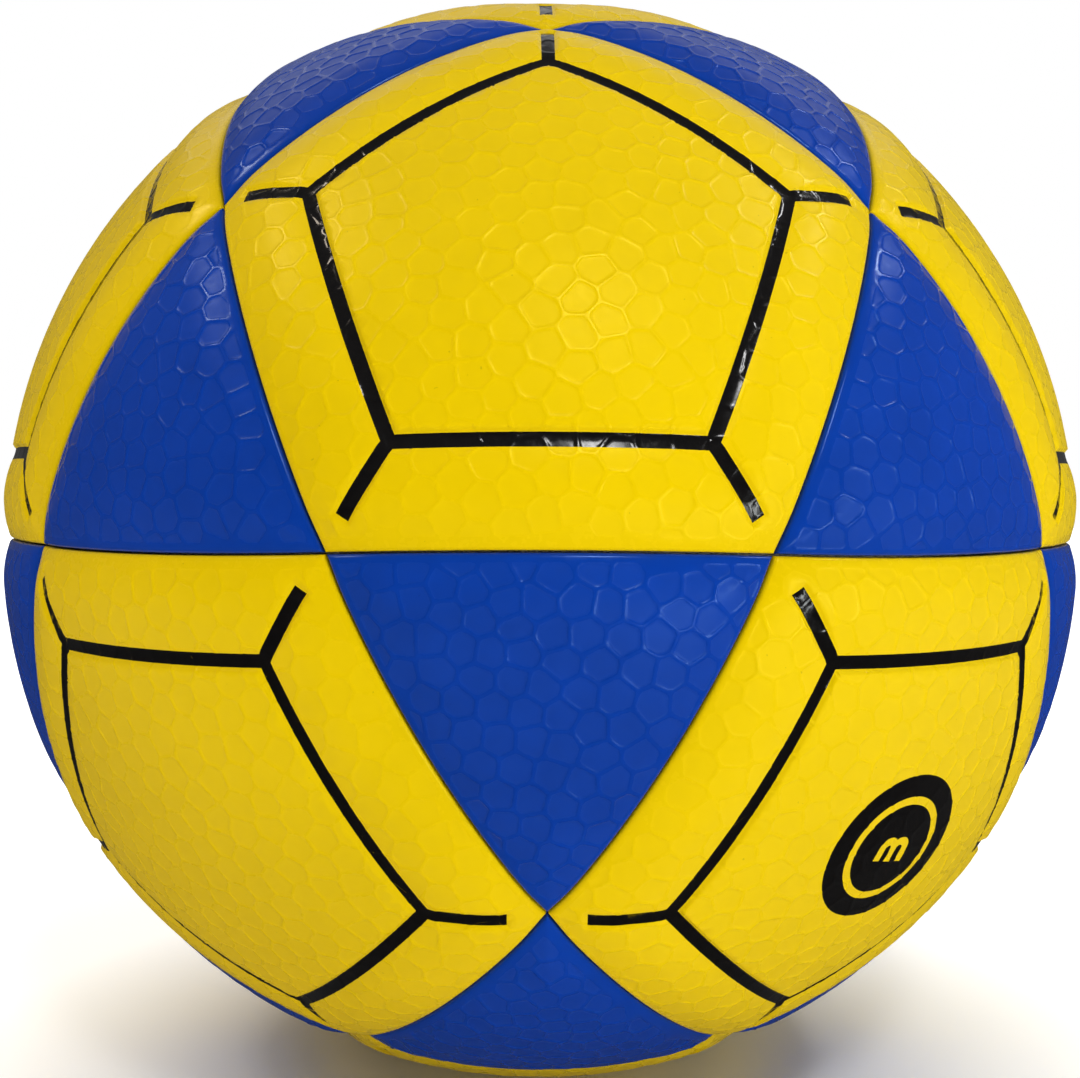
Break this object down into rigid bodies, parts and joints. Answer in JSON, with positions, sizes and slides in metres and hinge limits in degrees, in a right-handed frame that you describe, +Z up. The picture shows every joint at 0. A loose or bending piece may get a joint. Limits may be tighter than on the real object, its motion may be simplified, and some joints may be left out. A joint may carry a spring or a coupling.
{
  "type": "korfball ball",
  "caption": "Hollow game ball with a cover of domed five-sided and three-sided panels over a wound casing, an air bladder and a self-sealing valve.",
  "frame": {"origin": "the ball's centre", "axes": "+Z up through the middle of a five-sided panel, -Y towards the viewer through the seam under the front five-sided panel, +X to the viewer's right; the valve points back and down, opposite the front five-sided panel"},
  "size_m": [0.1904, 0.1912, 0.191],
  "materials": {
    "yellow_cover": "satin",
    "blue_cover": "satin",
    "wound_thread": "matte",
    "bladder_rubber": "matte",
    "valve_rubber": "satin"
  },
  "bodies": {
    "root": {"bladder": "bladder_rubber", "pentagon_panel_01": "yellow_cover", "pentagon_panel_02": "yellow_cover", "pentagon_panel_03": "yellow_cover", "pentagon_panel_04": "yellow_cover", "pentagon_panel_05": "yellow_cover", "pentagon_panel_06": "yellow_cover", "pentagon_panel_07": "yellow_cover", "pentagon_panel_08": "yellow_cover", "pentagon_panel_10": "yellow_cover", "pentagon_panel_11": "yellow_cover", "pentagon_panel_12": "yellow_cover", "pentagon_panel_valve": "yellow_cover", "triangle_panel_01": "blue_cover", "triangle_panel_02": "blue_cover", "triangle_panel_03": "blue_cover", "triangle_panel_04": "blue_cover", "triangle_panel_05": "blue_cover", "triangle_panel_06": "blue_cover", "triangle_panel_07": "blue_cover", "triangle_panel_08": "blue_cover", "triangle_panel_09": "blue_cover", "triangle_panel_10": "blue_cover", "triangle_panel_11": "blue_cover", "triangle_panel_12": "blue_cover", "triangle_panel_13": "blue_cover", "triangle_panel_14": "blue_cover", "triangle_panel_15": "blue_cover", "triangle_panel_16": "blue_cover", "triangle_panel_17": "blue_cover", "triangle_panel_18": "blue_cover", "triangle_panel_19": "blue_cover", "triangle_panel_20": "blue_cover", "valve_housing": "valve_rubber", "valve_insert": "valve_rubber", "wound_casing": "wound_thread"}
  },
  "joints": []
}
